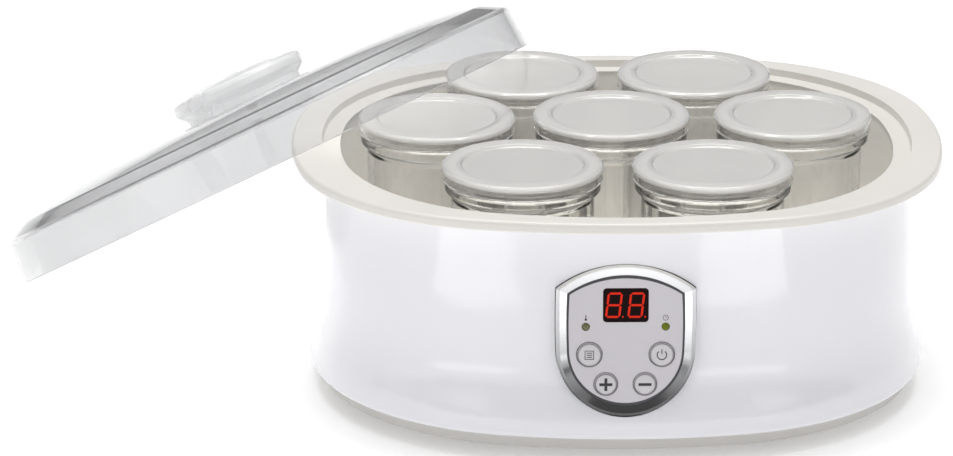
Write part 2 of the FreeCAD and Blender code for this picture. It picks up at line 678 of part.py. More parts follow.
# ---- write the parts ----------------------------------------------------------------------------------
def main():
    os.makedirs("parts", exist_ok=True)
    save("outer_casing", outer_casing())
    save("inner_tub", inner_tub())
    save("base_cover", base_cover())
    for end, sy in (("front", -1), ("rear", 1)):
        for side, sx in (("left", -1), ("right", 1)):
            save("foot_" + end + "_" + side, foot(sx * FOOT_X, sy * FOOT_Y))
    base_screws = screws_at(corners4(POST_X, POST_Y), 7.0, lambda: screw(3.2, 2.0, SCREW_SHANK_R, 13.0))
    save("base_screws", base_screws)
    save("heating_plate", heating_plate())
    save("heater_element", heater_element())
    save("thermistor", thermistor())
    save("sensor_clip", sensor_clip())
    save("thermal_fuse", thermal_fuse())
    save("power_board", power_board())
    save("relay", relay())
    save("filter_capacitor", filter_capacitor())
    save("terminal_block", terminal_block())
    head_h = 1.6
    under_head = POWER_BOARD_TOP + head_h
    board_screws = screws_at(power_board_holes(), under_head, lambda: screw(2.6, head_h, 1.2, 5.0), True)
    save("power_board_screws", board_screws)
    save("heater_leads", heater_leads())
    save("ribbon_cable", ribbon_cable())
    save("cord_gland", cord_gland())
    save("panel_bezel", panel_bezel())
    save("panel_fascia", panel_fascia())
    save("display_window", display_window())
    save("display_module", display_module())
    for name, (x, z) in LEDS.items():
        save(name, led(x, z))
    save("control_board", control_board())
    save("control_board_screws", control_board_screws())
    save("key_switches", key_switches())
    for name, (x, z, r) in BUTTONS.items():
        save(name, push_button(x, z, r))
    for i, (x, y) in enumerate(JAR_PLACES, 1):
        save("jar_%d" % i, jar(x, y))
        save("jar_lid_%d" % i, jar_lid(x, y))
    save("cover_shell", cover_shell())
    save("cover_knob", cover_knob())
    save("knob_screw", knob_screw())


main()
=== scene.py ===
import json
import math
import bmesh
import bpy
from mathutils import Euler, Matrix, Vector


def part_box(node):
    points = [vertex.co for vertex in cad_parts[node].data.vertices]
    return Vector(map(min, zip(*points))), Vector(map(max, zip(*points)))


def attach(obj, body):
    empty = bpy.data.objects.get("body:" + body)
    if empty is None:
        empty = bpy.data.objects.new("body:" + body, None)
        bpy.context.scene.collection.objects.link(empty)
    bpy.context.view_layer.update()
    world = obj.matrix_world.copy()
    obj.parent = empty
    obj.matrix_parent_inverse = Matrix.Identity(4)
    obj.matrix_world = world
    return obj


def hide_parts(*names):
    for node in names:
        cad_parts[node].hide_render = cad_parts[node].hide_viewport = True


# An oval yogurt maker: white flared casing, seven lidded jars, a control panel and a clear leaning cover.
# Everything is in metres in the part's own frame. MM turns millimetres into metres.

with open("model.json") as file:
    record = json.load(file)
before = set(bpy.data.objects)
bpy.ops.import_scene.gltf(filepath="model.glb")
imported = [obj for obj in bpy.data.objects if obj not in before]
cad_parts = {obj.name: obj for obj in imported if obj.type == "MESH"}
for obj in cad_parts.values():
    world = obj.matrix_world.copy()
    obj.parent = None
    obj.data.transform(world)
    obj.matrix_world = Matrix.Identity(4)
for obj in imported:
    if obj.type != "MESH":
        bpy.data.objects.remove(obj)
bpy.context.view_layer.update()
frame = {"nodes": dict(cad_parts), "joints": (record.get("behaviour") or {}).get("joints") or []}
MM = 0.001

# ---- sizes --------------------------------------------------------------------------------------------
FLANGE_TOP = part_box("inner_tub")[1].z
# oval of the cover's rim: half width, half depth, radii of the front, side and corner arcs
COVER_OVAL = (125.2, 109.7, 220.0, 165.0, 95.0)
COVER_CENTRE = Vector((-149.5, 84.2, 65.9)) * MM
COVER_TURN = (-30.0, -30.1, -0.9)       # about Z, then Y, then X, in degrees
COVER_TOP = 31.0                        # height of the crown above the rim, in the cover's own frame
CROWN_IN = -58.0                        # where the crown levels out
JAR_SEGMENTS = 128
LID_CLARITY = 0.45                      # how much light the lid's frosted disc lets straight through
OVAL_STEPS = (30, 26, 22)               # points on the front, corner and side arcs

# camera and light
CAMERA_AZIMUTH = 0.66
CAMERA_ELEVATION = 18.76
CAMERA_DISTANCE = 2.157
CAMERA_SIDE = 60.3 * MM                 # how far the aim lies to the left of the tub's centre
CAMERA_DROP = 40.1 * MM                 # and below the flange
CAMERA_LENS = 188.9
FLOOR_HALF = 4.0                        # half the width of the paper floor, in metres
FLOOR_GLOW = 0.24                       # the paper is backlit, so it stays white round the object


# ---- mesh helpers -------------------------------------------------------------------------------------
def rounded(points, steps=5):
    """Turn a closed outline of (x, y, radius) corners into points, with an arc at each rounded corner."""
    result = []
    count = len(points)
    for i, (x, y, radius) in enumerate(points):
        here = Vector((x, y))
        if radius <= 0:
            result.append(here)
            continue
        before = Vector(points[i - 1][:2]) - here
        after = Vector(points[(i + 1) % count][:2]) - here
        to_before, to_after = before.normalized(), after.normalized()
        half = to_before.angle(to_after) / 2
        trim = min(radius / math.tan(half), before.length * 0.49, after.length * 0.49)
        radius = trim * math.tan(half)
        centre = here + (to_before + to_after).normalized() * (radius / math.sin(half))
        start = here + to_before * trim - centre
        end = here + to_after * trim - centre
        sweep = start.angle_signed(end)
        for k in range(steps + 1):
            arm = start.copy()
            arm.rotate(Matrix.Rotation(-sweep * k / steps, 2))
            result.append(centre + arm)
    return [(p.x, p.y) for p in result]


def make_piece(name, vertices, faces, material, smooth=True):
    """A mesh object from vertices and faces, with its normals facing out and one material."""
    mesh = bpy.data.meshes.new(name)
    mesh.from_pydata([tuple(v) for v in vertices], [], faces)
    mesh.validate()
    shape = bmesh.new()
    shape.from_mesh(mesh)
    bmesh.ops.recalc_face_normals(shape, faces=shape.faces)
    shape.to_mesh(mesh)
    shape.free()
    if smooth:
        mesh.shade_smooth()
    piece = bpy.data.objects.new(name, mesh)
    bpy.context.scene.collection.objects.link(piece)
    mesh.materials.append(material)
    if smooth:
        weighted = piece.modifiers.new("even_normals", "WEIGHTED_NORMAL")
        weighted.keep_sharp = True
        weighted.weight = 80
    return piece


def spin(name, outline, material, segments=JAR_SEGMENTS, place=None):
    """A closed solid of revolution about Z. The outline is (radius, height) in millimetres, anticlockwise."""
    vertices, rows = [], []
    for radius, height in outline:
        if radius < 1e-6:
            rows.append([len(vertices)] * segments)
            vertices.append(Vector((0, 0, height * MM)))
            continue
        rows.append(list(range(len(vertices), len(vertices) + segments)))
        for k in range(segments):
            a = 2 * math.pi * k / segments
            vertices.append(Vector((radius * math.cos(a), radius * math.sin(a), height)) * MM)
    faces = bridge(rows, closed=outline[0][0] > 1e-6)
    if place is not None:
        vertices = [place @ v for v in vertices]
    return make_piece(name, vertices, faces, material)


def bridge(rows, closed):
    """Faces between rows of vertex numbers, each row a closed loop. A pole is one number repeated."""
    faces = []
    pairs = list(zip(rows, rows[1:]))
    if closed:
        pairs.append((rows[-1], rows[0]))
    for low, high in pairs:
        for k in range(len(low)):
            m = (k + 1) % len(low)
            corners = [low[k], low[m], high[m], high[k]]
            face = [c for n, c in enumerate(corners) if c not in corners[:n]]
            if len(face) > 2:
                faces.append(face)
    return faces


def oval_arcs(oval):
    """Arcs of one oval, anticlockwise from the front: centre, radius, first angle, last angle, steps."""
    half_x, half_y, r_front, r_side, r_corner = oval
    front = Vector((0.0, r_front - half_y))
    side = Vector((half_x - r_side, 0.0))
    reach_front, reach_side = r_front - r_corner, r_side - r_corner
    span = (side - front).length
    along = (reach_front ** 2 - reach_side ** 2 + span ** 2) / (2 * span)
    across = math.sqrt(reach_front ** 2 - along ** 2)
    unit = (side - front) / span
    corner = front + unit * along + Vector((-unit.y, unit.x)) * across
    a_front = math.atan2(corner.y - front.y, corner.x - front.x)
    a_side = math.atan2(corner.y, corner.x - side.x)
    n_front, n_corner, n_side = OVAL_STEPS
    half_turn = [
        (front, r_front, -math.pi - a_front, a_front, n_front),
        (corner, r_corner, a_front, a_side, n_corner),
        (side, r_side, a_side, -a_side, n_side),
        (Vector((corner.x, -corner.y)), r_corner, -a_side, -a_front, n_corner),
    ]
    other = [(-c, r, a0 + math.pi, a1 + math.pi, n) for c, r, a0, a1, n in half_turn]
    return half_turn + other


def oval_loop(oval, offset, height):
    """Points round an oval at one offset, in millimetres, the same count for every oval."""
    points = []
    for centre, radius, a0, a1, steps in oval_arcs(oval):
        for k in range(steps):
            a = a0 + (a1 - a0) * k / steps
            reach = radius + offset
            points.append(Vector((centre.x + reach * math.cos(a), centre.y + reach * math.sin(a), height)))
    return points


def sweep(name, outline, oval, material, place=None, capped=False):
    """Carry an outline of (offset, height) round an oval. capped closes the first and last loops."""
    vertices, rows = [], []
    for offset, height in outline:
        loop = oval_loop(oval, offset, height)
        rows.append(list(range(len(vertices), len(vertices) + len(loop))))
        vertices += [p * MM for p in loop]
    faces = bridge(rows, closed=not capped)
    if capped:
        for row, height, flip in ((rows[0], outline[0][1], True), (rows[-1], outline[-1][1], False)):
            shrink = [Vector((vertices[i].x * 0.5, vertices[i].y * 0.5, height * MM)) for i in row]
            inner = list(range(len(vertices), len(vertices) + len(shrink)))
            vertices += shrink
            middle = len(vertices)
            vertices.append(Vector((0, 0, height * MM)))
            strips = bridge([row, inner, [middle] * len(row)], closed=False)
            faces += [f[::-1] for f in strips] if flip else strips
    if place is not None:
        vertices = [place @ v for v in vertices]
    return make_piece(name, vertices, faces, material)


def prism(name, outline, low, high, material, place, smooth=False):
    """A flat shape with thickness: outline of (x, z) in the panel's plane, low and high measured outward."""
    count = len(outline)
    vertices = [place @ (Vector((x, -low, z)) * MM) for x, z in outline]
    vertices += [place @ (Vector((x, -high, z)) * MM) for x, z in outline]
    faces = [list(range(count))[::-1], list(range(count, 2 * count))]
    faces += [[k, (k + 1) % count, count + (k + 1) % count, count + k] for k in range(count)]
    return make_piece(name, vertices, faces, material, smooth)


def join(name, pieces):
    """Several meshes as one piece."""
    bpy.ops.object.select_all(action="DESELECT")
    for piece in pieces:
        piece.select_set(True)
    bpy.context.view_layer.objects.active = pieces[0]
    bpy.ops.object.join()
    pieces[0].name = name
    pieces[0].data.name = name
    return pieces[0]


# ---- materials ----------------------------------------------------------------------------------------
def new_material(name):
    """A new node material; gives back the material, its tree and its main shader."""
    material = bpy.data.materials.new(name)
    material.use_nodes = True
    tree = material.node_tree
    return material, tree, tree.nodes["Principled BSDF"]


def noise(tree, scale, detail=3.0, roughness=0.5):
    """Three-dimensional noise in object space; scale is in cells a metre."""
    where = tree.nodes.new("ShaderNodeTexCoord")
    pattern = tree.nodes.new("ShaderNodeTexNoise")
    pattern.inputs["Scale"].default_value = scale
    pattern.inputs["Detail"].default_value = detail
    pattern.inputs["Roughness"].default_value = roughness
    tree.links.new(where.outputs["Object"], pattern.inputs["Vector"])
    return pattern.outputs["Fac"]


def remap(tree, value, low, high):
    """Stretch noise from its usual 0.3 to 0.7 onto low to high."""
    spread = tree.nodes.new("ShaderNodeMapRange")
    spread.inputs["From Min"].default_value = 0.3
    spread.inputs["From Max"].default_value = 0.7
    spread.inputs["To Min"].default_value = low
    spread.inputs["To Max"].default_value = high
    tree.links.new(value, spread.inputs["Value"])
    return spread.outputs["Result"]


def by_height(tree, low, high, at_low=0.0, at_high=1.0):
    """A value that goes from at_low to at_high between two heights of the object at rest."""
    where = tree.nodes.new("ShaderNodeTexCoord")
    split = tree.nodes.new("ShaderNodeSeparateXYZ")
    rise = tree.nodes.new("ShaderNodeMapRange")
    rise.inputs["From Min"].default_value = low
    rise.inputs["From Max"].default_value = high
    rise.inputs["To Min"].default_value = at_low
    rise.inputs["To Max"].default_value = at_high
    tree.links.new(where.outputs["Object"], split.inputs["Vector"])
    tree.links.new(split.outputs["Z"], rise.inputs["Value"])
    return rise.outputs["Result"]


def colour_ramp(tree, value, stops):
    """A colour looked up from a value; each stop is (value, colour), in order."""
    ramp = tree.nodes.new("ShaderNodeValToRGB")
    elements = ramp.color_ramp.elements
    elements.remove(elements[1])
    elements[0].position = stops[0][0]
    elements[0].color = (*stops[0][1], 1)
    for place, colour in stops[1:]:
        elements.new(place).color = (*colour, 1)
    tree.links.new(value, ramp.inputs["Fac"])
    return ramp.outputs["Color"]


def two_tones(tree, value, dark, light):
    """Noise turned into a colour between two close tones."""
    return colour_ramp(tree, value, [(0.3, dark), (0.7, light)])


def add_bump(tree, shader, height, distance, strength=1.0):
    """Relief on a shader's surface from a height; distance is in metres."""
    bump = tree.nodes.new("ShaderNodeBump")
    bump.inputs["Distance"].default_value = distance
    bump.inputs["Strength"].default_value = strength
    tree.links.new(height, bump.inputs["Height"])
    tree.links.new(bump.outputs["Normal"], shader.inputs["Normal"])


def moulded(name, colour, roughness, grain=900.0, depth=0.000004, coat=0.0, shift=0.02, metallic=0.0,
            specular=0.5):
    """Opaque moulded plastic or plain metal: faint mottling, uneven gloss and a fine surface grain."""
    material, tree, shader = new_material(name)
    cloud = noise(tree, 14.0, 4.0)
    dark = [max(0.0, c * (1 - shift)) for c in colour]
    light = [min(1.0, c * (1 + shift)) for c in colour]
    tree.links.new(two_tones(tree, cloud, dark, light), shader.inputs["Base Color"])
    gloss = remap(tree, noise(tree, 60.0), roughness * 0.85, roughness * 1.2)
    tree.links.new(gloss, shader.inputs["Roughness"])
    add_bump(tree, shader, noise(tree, grain, 2.0), depth)
    shader.inputs["Metallic"].default_value = metallic
    shader.inputs["Specular IOR Level"].default_value = specular
    shader.inputs["Coat Weight"].default_value = coat
    shader.inputs["Coat Roughness"].default_value = 0.06
    return material


def clear(name, colour, roughness, ior, transmission, wave, depth, haze=0.03, shade=0.9, coat=0.0):
    """Glass or clear plastic: slow waviness in the surface, a trace of haze, and lamp light let through."""
    material, tree, shader = new_material(name)
    light = [min(1.0, c * (1 + haze)) for c in colour]
    dark = [c * (1 - haze) for c in colour]
    tree.links.new(two_tones(tree, noise(tree, 9.0), dark, light), shader.inputs["Base Color"])
    gloss = remap(tree, noise(tree, 40.0), roughness * 0.7, roughness * 1.3)
    tree.links.new(gloss, shader.inputs["Roughness"])
    add_bump(tree, shader, noise(tree, wave, 1.0), depth)
    shader.inputs["IOR"].default_value = ior
    shader.inputs["Transmission Weight"].default_value = transmission
    shader.inputs["Coat Weight"].default_value = coat
    shader.inputs["Coat Roughness"].default_value = 0.03
    path = tree.nodes.new("ShaderNodeLightPath")
    passing = tree.nodes.new("ShaderNodeBsdfTransparent")
    passing.inputs["Color"].default_value = (shade, shade, shade, 1)
    choice = tree.nodes.new("ShaderNodeMixShader")
    tree.links.new(path.outputs["Is Shadow Ray"], choice.inputs["Fac"])
    tree.links.new(shader.outputs["BSDF"], choice.inputs[1])
    tree.links.new(passing.outputs["BSDF"], choice.inputs[2])
    tree.links.new(choice.outputs["Shader"], tree.nodes["Material Output"].inputs["Surface"])
    return material


def stepped(name, painted_light_inside, rim, height):
    """Satin white plastic in two tones, which change at one height: the tub's inside and its rim. The
    inside's far lighter tone is painted light standing in for light filling the tub.
    """
    material = moulded(name, rim, 0.34, 1100.0, 0.000006, coat=0.1, shift=0.012)
    tree = material.node_tree
    shader = tree.nodes["Principled BSDF"]
    above = by_height(tree, height - 2.0 * MM, height)
    mottled = shader.inputs["Base Color"].links[0].from_socket
    choice = tree.nodes.new("ShaderNodeMix")
    choice.data_type = "RGBA"
    # Below the step, the inside's painted light tone takes over from the rim's colour.
    choice.inputs["A"].default_value = (*painted_light_inside, 1)
    tree.links.new(above, choice.inputs["Factor"])
    tree.links.new(mottled, choice.inputs["B"])
    tree.links.new(choice.outputs["Result"], shader.inputs["Base Color"])
    return material


def plated(name, node):
    """Bright plated metal with a painted reflection of the room: colour light at the node's top, dark towards
    its foot.
    """
    material, tree, shader = new_material(name)
    low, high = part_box(node)
    painted_reflection_tones = [(0.0, 0.10), (0.16, 0.13), (0.36, 0.36), (0.62, 0.52), (0.80, 0.62), (1.0, 0.85)]
    stops = [(place, (tone, tone * 1.005, tone * 1.02)) for place, tone in painted_reflection_tones]
    # Painted reflection: the metal's colour is set by height instead of by what it mirrors.
    painted_reflection = colour_ramp(tree, by_height(tree, low.z, high.z), stops)
    tree.links.new(painted_reflection, shader.inputs["Base Color"])
    tree.links.new(remap(tree, noise(tree, 80.0), 0.10, 0.20), shader.inputs["Roughness"])
    add_bump(tree, shader, noise(tree, 300.0, 2.0), 0.000003)
    shader.inputs["Metallic"].default_value = 1.0
    return material


def clear_skirt(material, height):
    """Make a lid's press-on skirt, below the height given, clearer than its frosted disc."""
    tree = material.node_tree
    haze = by_height(tree, height - 0.9 * MM, height - 0.2 * MM, 0.93, LID_CLARITY)
    tree.links.new(haze, tree.nodes["Principled BSDF"].inputs["Transmission Weight"])


def glowing(name, colour, strength):
    """A lit segment or lamp, its glow mottled a little."""
    material, tree, shader = new_material(name)
    mottled = two_tones(tree, noise(tree, 700.0), [c * 0.8 for c in colour], colour)
    tree.links.new(mottled, shader.inputs["Emission Color"])
    tree.links.new(two_tones(tree, noise(tree, 700.0), [c * 0.2 for c in colour], [c * 0.3 for c in colour]),
                   shader.inputs["Base Color"])
    shader.inputs["Specular IOR Level"].default_value = 0.1
    shader.inputs["Emission Strength"].default_value = strength
    shader.inputs["Roughness"].default_value = 0.3
    return material


casing_white = moulded("casing_white", (0.85, 0.85, 0.885), 0.13, 500.0, 0.000003, coat=0.5, shift=0.006)
# The tub's near-white inside is painted light: the rim's plastic made lighter to stand in for light inside
# the tub.
tub_white = stepped("tub_white", (0.995, 0.965, 0.905), (0.76, 0.738, 0.695), FLANGE_TOP - 4.0 * MM)
base_grey = moulded("base_grey", (0.60, 0.585, 0.555), 0.45, 1400.0, 0.00001, shift=0.03)
foot_rubber = moulded("foot_rubber", (0.52, 0.51, 0.49), 0.75, 1600.0, 0.00002, shift=0.05)
gland_white = moulded("gland_white", (0.72, 0.715, 0.70), 0.5, 1300.0, 0.00001, shift=0.03)
steel = moulded("screw_steel", (0.62, 0.62, 0.63), 0.3, 2400.0, 0.000006, shift=0.06, metallic=1.0)
# The bezel's chrome carries a painted reflection, dark at its foot and light at its top.
chrome = plated("bezel_chrome", "panel_bezel")
fascia_grey = moulded("fascia_grey", (0.63, 0.605, 0.64), 0.36, 2600.0, 0.000006, coat=0.15, shift=0.025)
button_grey = moulded("button_grey", (0.63, 0.61, 0.63), 0.3, 2200.0, 0.000004, coat=0.2, shift=0.02)
display_black = moulded("display_black", (0.010, 0.004, 0.004), 0.10, 400.0, 0.000002,
                        shift=0.2, specular=0.05)
rim_dark = moulded("rim_dark", (0.20, 0.19, 0.20), 0.5, 3000.0, 0.000004, shift=0.1)
print_dark = moulded("print_dark", (0.03, 0.03, 0.035), 0.5, 3000.0, 0.000004, shift=0.2)
led_dark = moulded("led_dark", (0.12, 0.12, 0.04), 0.12, 800.0, 0.000002, coat=0.6, shift=0.1)
inner_black = moulded("inner_black", (0.05, 0.05, 0.055), 0.4, 1500.0, 0.000008, shift=0.2)
board_green = moulded("board_green", (0.03, 0.20, 0.09), 0.3, 1800.0, 0.00001, coat=0.4, shift=0.2)
plate_metal = moulded("plate_metal", (0.76, 0.77, 0.78), 0.32, 1200.0, 0.00001, shift=0.04, metallic=1.0)
silicone_red = moulded("silicone_red", (0.42, 0.10, 0.06), 0.6, 1500.0, 0.00001, shift=0.08)
lead_sleeve = moulded("lead_sleeve", (0.70, 0.69, 0.64), 0.6, 2600.0, 0.00002, shift=0.05)
ribbon_grey = moulded("ribbon_grey", (0.42, 0.43, 0.44), 0.5, 1500.0, 0.00001, shift=0.06)
relay_blue = moulded("relay_blue", (0.03, 0.10, 0.34), 0.35, 1200.0, 0.000008, shift=0.08)
capacitor_yellow = moulded("capacitor_yellow", (0.62, 0.42, 0.05), 0.4, 1200.0, 0.00001, shift=0.06)
fuse_lacquer = moulded("fuse_lacquer", (0.66, 0.60, 0.42), 0.3, 1500.0, 0.000006, coat=0.3, shift=0.06)

jar_glass = clear("jar_glass", (1.0, 0.998, 0.99), 0.02, 1.45, 1.0, 22.0, 0.00003, haze=0.0, shade=0.98)
lid_plastic = clear("lid_plastic", (0.88, 0.87, 0.845), 0.10, 1.49, LID_CLARITY, 300.0, 0.000004,
                    haze=0.015, shade=0.88, coat=1.0)
clear_skirt(lid_plastic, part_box("jar_1")[1].z)
cover_plastic = clear("cover_plastic", (0.80, 0.802, 0.806), 0.03, 1.49, 0.93, 12.0, 0.00003, haze=0.01)
knob_plastic = clear("knob_plastic", (0.93, 0.932, 0.935), 0.25, 1.49, 0.42, 500.0, 0.000006,
                     haze=0.01, coat=0.3)
digit_red = glowing("digit_red", (0.70, 0.022, 0.006), 0.85)
led_lit = glowing("led_lit", (0.40, 0.50, 0.05), 0.12)

NODE_FINISH = {
    "outer_casing": casing_white, "inner_tub": tub_white, "base_cover": base_grey, "cord_gland": gland_white,
    "foot_front_left": foot_rubber, "foot_front_right": foot_rubber,
    "foot_rear_left": foot_rubber, "foot_rear_right": foot_rubber,
    "base_screws": steel, "power_board_screws": steel, "control_board_screws": steel, "knob_screw": steel,
    "heating_plate": plate_metal, "heater_element": silicone_red, "heater_leads": lead_sleeve,
    "thermistor": inner_black, "sensor_clip": steel, "thermal_fuse": fuse_lacquer,
    "power_board": board_green, "control_board": board_green, "terminal_block": board_green,
    "relay": relay_blue, "filter_capacitor": capacitor_yellow, "ribbon_cable": ribbon_grey,
    "panel_bezel": chrome, "panel_fascia": fascia_grey,
    "display_window": display_black, "display_module": inner_black, "temp_led": led_dark, "time_led": led_lit,
    "key_switches": inner_black, "function_button": button_grey, "start_button": button_grey,
    "plus_button": button_grey, "minus_button": button_grey,
    "cover_shell": cover_plastic, "cover_knob": knob_plastic,
}
for node, finish in NODE_FINISH.items():
    frame["nodes"][node].material_slots[0].material = finish


# ---- jars and lids ------------------------------------------------------------------------------------
JAR_OUTLINE = [
    (0, 1.3, 0), (20.5, 1.3, 1.0), (22.0, 0, 0.8), (30, 0, 4.2), (30, 70.6, 1.6), (32.8, 72.6, 0.8),
    (32.8, 76.0, 1.2), (31.1, 76.6, 0.5), (31.1, 81.3, 1.05), (28.9, 81.3, 1.05), (28.6, 72.5, 2.0),
    (27.4, 68.0, 2.0), (27.4, 4.2, 4.5), (0, 4.2, 0),
]
LID_OUTLINE = [
    (0, 0.9, 0), (25.3, 0.9, 0.5), (26.2, 1.8, 0.5), (33.1, 1.75, 0.8), (34.0, 0.9, 0.5), (34.0, -0.4, 0.4),
    (33.35, -0.8, 0.25), (33.3, -4.0, 0.2), (33.7, -4.4, 0.2), (33.6, -4.6, 0.1), (32.1, -4.6, 0.3),
    (31.7, 0.0, 1.0), (27.8, 0, 0.2), (27.2, -4.2, 0.5), (25.8, -4.2, 0.5), (25.6, -0.6, 0.4), (0, -0.6, 0),
]


def build_jars():
    """Seven glass jars, each with its press-on lid, where the CAD's jars stand."""
    jar_shape = rounded(JAR_OUTLINE)
    lid_shape = rounded(LID_OUTLINE)
    for number in range(1, 8):
        low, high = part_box("jar_%d" % number)
        x, y = (low.x + high.x) / 2, (low.y + high.y) / 2
        jar = spin("glass_jar_%d" % number, jar_shape, jar_glass, place=Matrix.Translation((x, y, low.z)))
        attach(jar, "jar_%d" % number)
        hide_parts("jar_%d" % number)
        lid = spin("press_lid_%d" % number, lid_shape, lid_plastic, place=Matrix.Translation((x, y, high.z)))
        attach(lid, "jar_lid_%d" % number)
        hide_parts("jar_lid_%d" % number)


# ---- cover --------------------------------------------------------------------------------------------
COVER_SIDE = (-1.4, 19.2)               # offset and height of the side wall's top
COVER_SHOULDER = (-12.2, 24.8)          # top of the chamfer
COVER_SIDE_INSIDE = (-3.32, 18.3)
COVER_SHOULDER_INSIDE = (-13.1, 22.8)
COVER_WALL = 2.0
KNOB_OUTLINE = [
    (0, 14.6, 0), (10.0, 14.3, 8.0), (20.0, 13.3, 8.0), (29.2, 11.8, 1.2), (30.7, 11.1, 0.8),
    (31.3, 9.6, 1.0), (31.3, 6.8, 0.8), (30.4, 5.4, 0.6), (27.6, 3.0, 0.8), (27.0, 0, 0.3), (24.8, 0, 0.3),
    (24.8, 9.6, 1.8), (4.2, 9.6, 1.0), (4.2, 0, 0.2), (1.6, 0, 0.1), (1.6, 9.0, 0.2), (0, 9.0, 0),
]


def crown(start, top, steps=9):
    """Points of a shallow dome that rises from start and levels out at CROWN_IN."""
    reach = start[0] - CROWN_IN
    rise = top - start[1]
    return [(CROWN_IN + reach * k / steps, top - rise * (k / steps) ** 2, 0) for k in range(steps)]


def cover_outline():
    """From the middle of the underside, out and down to the rim, and back over the outside."""
    under = crown(COVER_SHOULDER_INSIDE, COVER_TOP - COVER_WALL)
    over = crown(COVER_SHOULDER, COVER_TOP)[::-1]
    rim = [(*COVER_SHOULDER_INSIDE, 1.8), (*COVER_SIDE_INSIDE, 1.6), (-COVER_WALL, 0, 0.4), (0, 0, 0.5),
           (*COVER_SIDE, 2.4), (*COVER_SHOULDER, 3.0)]
    return rounded(under + rim + over)


def cover_place():
    """Matrix that puts the cover in its leaning place."""
    yaw, pitch, roll = (math.radians(a) for a in COVER_TURN)
    return Matrix.Translation(COVER_CENTRE) @ Euler((roll, pitch, yaw), "XYZ").to_matrix().to_4x4()


def build_cover():
    """The clear cover and its frosted knob."""
    place = cover_place()
    shell = sweep("clear_cover", cover_outline(), COVER_OVAL, cover_plastic, place, capped=True)
    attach(shell, "cover")
    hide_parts("cover_shell")
    lift = place @ Matrix.Translation((0, 0, COVER_TOP * MM))
    knob = spin("cover_grip", rounded(KNOB_OUTLINE), knob_plastic, 96, lift)
    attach(knob, "cover")
    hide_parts("cover_knob")


# ---- control panel ------------------------------------------------------------------------------------
PANEL_Y = -115.7            # bezel's front face at the panel's centre
PANEL_Z = 52.3
BEZEL_HALF_W = 28.8
BEZEL_TOP = 33.7
BEZEL_SHOULDER = 23.4
BEZEL_BOTTOM = -31.5
BEZEL_RIM = 4.5
GAP_SHADE_REACH = 1.7              # how far the painted shade along the joint round the fascia reaches in from the rim, at its widest
GAP_SHADE_AT_SIDES = 0.5          # share of that at the sides
GAP_SHADE_T = 0.05                # thickness of that painted shade
WINDOW_FACE = -1.4          # fronts of the window, fascia and buttons, outward from the bezel's front plane
FASCIA_FACE = -1.3
BUTTON_FACE = -0.6
PRINT_T = 0.04              # how far printed marks stand off
FLANGE_REACH = 1.0          # how far a button's retaining flange stands out past its face
RIM_INSET = 0.45            # from a button's edge to the inside of the dark line round its face
RIM_WIDTH = 0.37            # width of that line
LAMP_MARK_RISE = 4.0        # from a lamp up to its mark
DIGIT_H = 10.0
DIGIT_W = 5.4
SEGMENT = 0.9               # width of a bar
SEGMENT_GAP = 0.14          # from a bar's tip to the corner of the digit
SEGMENT_T = 0.05            # thickness of a bar
SLANT = 0.11
DOT_R = 0.38
DOT_OUT = 1.0               # from the digit's right side to its point
DIGIT_X = (-4.9, 4.3)
BUTTON_MARKS = {
    "function_button": "menu", "start_button": "power", "plus_button": "plus", "minus_button": "minus",
}
LAMP_MARKS = {"temp_led": "thermometer", "time_led": "clock"}


def panel_place():
    """Matrix from the panel's plane (x right, y inward, z up) to the frame, from the buttons' axis."""
    press = [j for j in frame["joints"] if j["name"] == "plus_press"][0]
    inward = Vector(press["axis"]).normalized()
    right = Vector((1, 0, 0))
    upward = right.cross(inward)
    turn = Matrix((right, inward, upward)).transposed().to_4x4()
    front = Vector((0, PANEL_Y, PANEL_Z)) * MM
    return Matrix.Translation(front) @ turn


def bar(x0, z0, x1, z1, width):
    """Pointed bar of a seven-segment digit."""
    start, end = Vector((x0, z0)), Vector((x1, z1))
    along = (end - start).normalized()
    side = Vector((-along.y, along.x)) * width / 2
    tip = along * width / 2
    points = [start, start + tip + side, end - tip + side, end, end - tip - side, start + tip - side]
    return [(p.x + SLANT * p.y, p.y) for p in points]


def disc(x, z, radius, count=24):
    """Round outline in the panel's plane."""
    return [(x + radius * math.cos(2 * math.pi * k / count), z + radius * math.sin(2 * math.pi * k / count))
            for k in range(count)]


def shifted(outline, x, z):
    """The same outline moved by x and z in the panel's plane."""
    return [(px + x, pz + z) for px, pz in outline]


def on_panel(place, node):
    """Middle of a node in the panel's own plane, in millimetres: x to the right and z up."""
    low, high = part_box(node)
    centre = place.inverted() @ ((low + high) / 2)
    return centre.x / MM, centre.z / MM


def build_digits(place):
    """Two lit digits with their points, as one piece on the display window."""
    w, h = DIGIT_W / 2, DIGIT_H / 2
    height = on_panel(place, "display_window")[1]
    bars = [(-w + SEGMENT_GAP, z, w - SEGMENT_GAP, z) for z in (-h, 0, h)]
    bars += [(x, z + SEGMENT_GAP, x, z + h - SEGMENT_GAP) for x in (-w, w) for z in (-h, 0)]
    pieces = []
    for x in DIGIT_X:
        for x0, z0, x1, z1 in bars:
            shape = shifted(bar(x0, z0, x1, z1, SEGMENT), x, height)
            pieces.append(prism("segment", shape, WINDOW_FACE, WINDOW_FACE + SEGMENT_T, digit_red, place))
        dot = disc(x + w + DOT_OUT, height - h, DOT_R)
        pieces.append(prism("segment", dot, WINDOW_FACE, WINDOW_FACE + SEGMENT_T, digit_red, place))
    digits = join("display_digits", pieces)
    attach(digits, "housing")


def rectangle(x0, x1, z0, z1):
    """Upright outline in the panel's plane."""
    return [(x0, z0), (x1, z0), (x1, z1), (x0, z1)]


